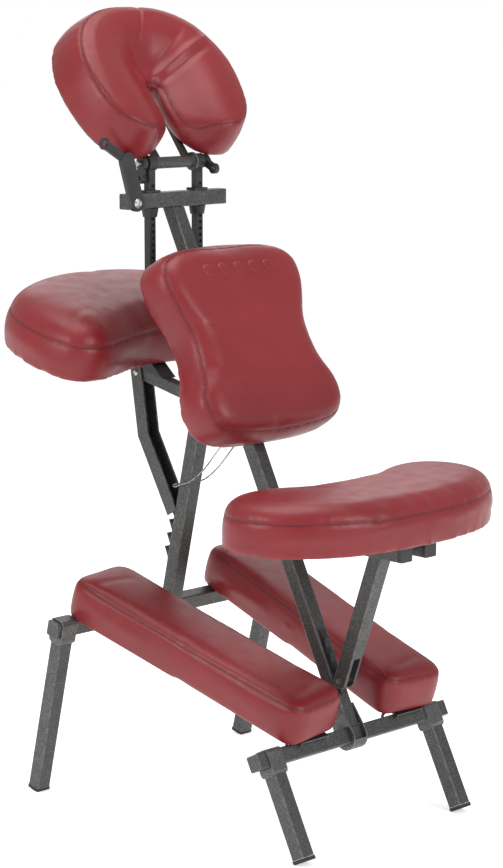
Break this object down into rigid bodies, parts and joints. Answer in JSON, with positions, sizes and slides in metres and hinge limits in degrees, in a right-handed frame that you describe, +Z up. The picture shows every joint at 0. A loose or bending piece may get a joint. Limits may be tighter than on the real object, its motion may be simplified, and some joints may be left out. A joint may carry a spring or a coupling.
{
  "type": "portable massage chair",
  "caption": "Folding forward-leaning massage chair: square-tube A-frame with shin, seat, chest, arm and face pads, each adjustable.",
  "frame": {"origin": "centre of the chair's bounding box at floor level", "axes": "+Z up; +Y is the way the sitter faces, from the seat towards the armrest; +X is the sitter's right"},
  "size_m": [0.516, 0.8306, 1.2784],
  "materials": {
    "hammertone_grey": "dark grey silver-vein powder coat, satin",
    "bright_steel": "plain bright pins and cable",
    "black_plastic": "moulded, fine texture",
    "black_rubber": "matte",
    "burgundy_vinyl": "soft polyurethane upholstery, fine grain, satin",
    "dark_board": "dark backing board"
  },
  "bodies": {
    "frame": {"rear_crossbar": "hammertone_grey", "rear_leg_left": "hammertone_grey", "rear_leg_right": "hammertone_grey", "rear_foot_left": "black_rubber", "rear_foot_right": "black_rubber", "rear_socket_left": "hammertone_grey", "rear_socket_right": "hammertone_grey", "spine_tube": "hammertone_grey", "spine_foot_bracket": "hammertone_grey", "seat_hook_strip": "black_plastic", "fold_clevis": "hammertone_grey", "fold_pin": "bright_steel", "top_crossbar": "hammertone_grey", "guide_bush_left": "black_plastic", "guide_bush_right": "black_plastic", "lanyard_cable": "bright_steel"},
    "front_frame": {"front_crossbar": "hammertone_grey", "front_leg_left": "hammertone_grey", "front_leg_right": "hammertone_grey", "front_foot_left": "black_rubber", "front_foot_right": "black_rubber", "front_socket_left": "hammertone_grey", "front_socket_right": "hammertone_grey", "front_post": "hammertone_grey", "armrest_hook_strip": "black_plastic", "armrest_clevis": "hammertone_grey"},
    "shin_left": {"shin_pad_left": "burgundy_vinyl", "shin_board_left": "dark_board", "shin_clip_left": "hammertone_grey"},
    "shin_right": {"shin_pad_right": "burgundy_vinyl", "shin_board_right": "dark_board", "shin_clip_right": "hammertone_grey"},
    "seat": {"seat_pad": "burgundy_vinyl", "seat_board": "dark_board", "seat_rail_left": "hammertone_grey", "seat_rail_right": "hammertone_grey", "seat_rail_cap_left": "black_plastic", "seat_rail_cap_right": "black_plastic", "seat_hinge_pin": "bright_steel"},
    "seat_prop": {"seat_strut": "hammertone_grey", "seat_strut_foot_pin": "bright_steel"},
    "armrest": {"armrest_pad": "burgundy_vinyl", "armrest_board": "dark_board", "armrest_rail": "hammertone_grey", "armrest_bracket": "black_plastic", "armrest_hinge_pin": "bright_steel"},
    "armrest_prop": {"armrest_strut": "hammertone_grey"},
    "chest": {"chest_pad": "burgundy_vinyl", "chest_board": "dark_board", "chest_carrier": "hammertone_grey"},
    "chest_clamp": {"chest_knob": "black_plastic"},
    "cradle_posts": {"rack_left": "black_plastic", "rack_right": "black_plastic", "cradle_axle": "bright_steel"},
    "face_cradle": {"cradle_pad": "burgundy_vinyl", "cradle_plate": "dark_board", "cradle_pivot_tube": "hammertone_grey"},
    "tilt_cam_left": {"tilt_lever_left": "black_plastic"},
    "tilt_cam_right": {"tilt_lever_right": "black_plastic"},
    "height_lock": {"height_lever": "black_plastic"}
  },
  "joints": [
    {"name": "main_fold", "type": "hinge", "parent": "frame", "child": "front_frame", "pos_m": [0, 0.06671, 0.7116], "axis": [-1, 0, 0], "range_deg": [0, 37], "deforming": ["lanyard_cable"]},
    {"name": "shin_left_swing", "type": "hinge", "parent": "frame", "child": "shin_left", "pos_m": [0, -0.2511, 0.1477], "axis": [1, 0, 0], "range_deg": [0, 36]},
    {"name": "shin_right_swing", "type": "hinge", "parent": "frame", "child": "shin_right", "pos_m": [0, -0.2511, 0.1477], "axis": [1, 0, 0], "range_deg": [0, 36]},
    {"name": "seat_tilt", "type": "hinge", "parent": "frame", "child": "seat", "pos_m": [0, -0.0918, 0.4625], "axis": [-1, 0, 0], "range_deg": [0, 14]},
    {"name": "seat_prop_swing", "type": "hinge", "parent": "seat", "child": "seat_prop", "pos_m": [0, -0.3163, 0.4625], "axis": [1, 0, 0], "range_deg": [0, 21.2]},
    {"name": "armrest_tilt", "type": "hinge", "parent": "front_frame", "child": "armrest", "pos_m": [0, 0.1077, 0.645], "axis": [-1, 0, 0], "range_deg": [0, 28]},
    {"name": "armrest_prop_swing", "type": "hinge", "parent": "armrest", "child": "armrest_prop", "pos_m": [0, 0.2337, 0.672], "axis": [1, 0, 0], "range_deg": [0, 32.2]},
    {"name": "chest_slide", "type": "slide", "parent": "frame", "child": "chest", "axis": [0, 0.4501, 0.893], "range_m": [-0.03, 0.05]},
    {"name": "chest_knob_turn", "type": "hinge", "parent": "chest", "child": "chest_clamp", "pos_m": [0.025, 0.00321, 0.65223], "axis": [1, 0, 0], "range_deg": [-180, 180]},
    {"name": "cradle_height", "type": "slide", "parent": "frame", "child": "cradle_posts", "axis": [0, 0, 1], "range_m": [0, 0.1]},
    {"name": "cradle_tilt", "type": "hinge", "parent": "cradle_posts", "child": "face_cradle", "pos_m": [0, 0.1527, 1.023], "axis": [1, 0, 0], "range_deg": [-50, 5]},
    {"name": "tilt_cam_left_turn", "type": "hinge", "parent": "cradle_posts", "child": "tilt_cam_left", "pos_m": [-0.068, 0.1527, 1.023], "axis": [1, 0, 0], "range_deg": [-60, 60]},
    {"name": "tilt_cam_right_turn", "type": "hinge", "parent": "cradle_posts", "child": "tilt_cam_right", "pos_m": [0.068, 0.1527, 1.023], "axis": [1, 0, 0], "range_deg": [-30, 90]},
    {"name": "height_lock_turn", "type": "hinge", "parent": "frame", "child": "height_lock", "pos_m": [-0.096, 0.1359, 0.962], "axis": [0, 1, 0], "range_deg": [-25, 0]}
  ],
  "couplings": [
    {"joint": "shin_left_swing", "follows": "main_fold", "ratio": 0.95},
    {"joint": "shin_right_swing", "follows": "main_fold", "ratio": 0.95},
    {"joint": "seat_prop_swing", "follows": "seat_tilt", "ratio": 1.5},
    {"joint": "armrest_prop_swing", "follows": "armrest_tilt", "ratio": 1.14}
  ]
}
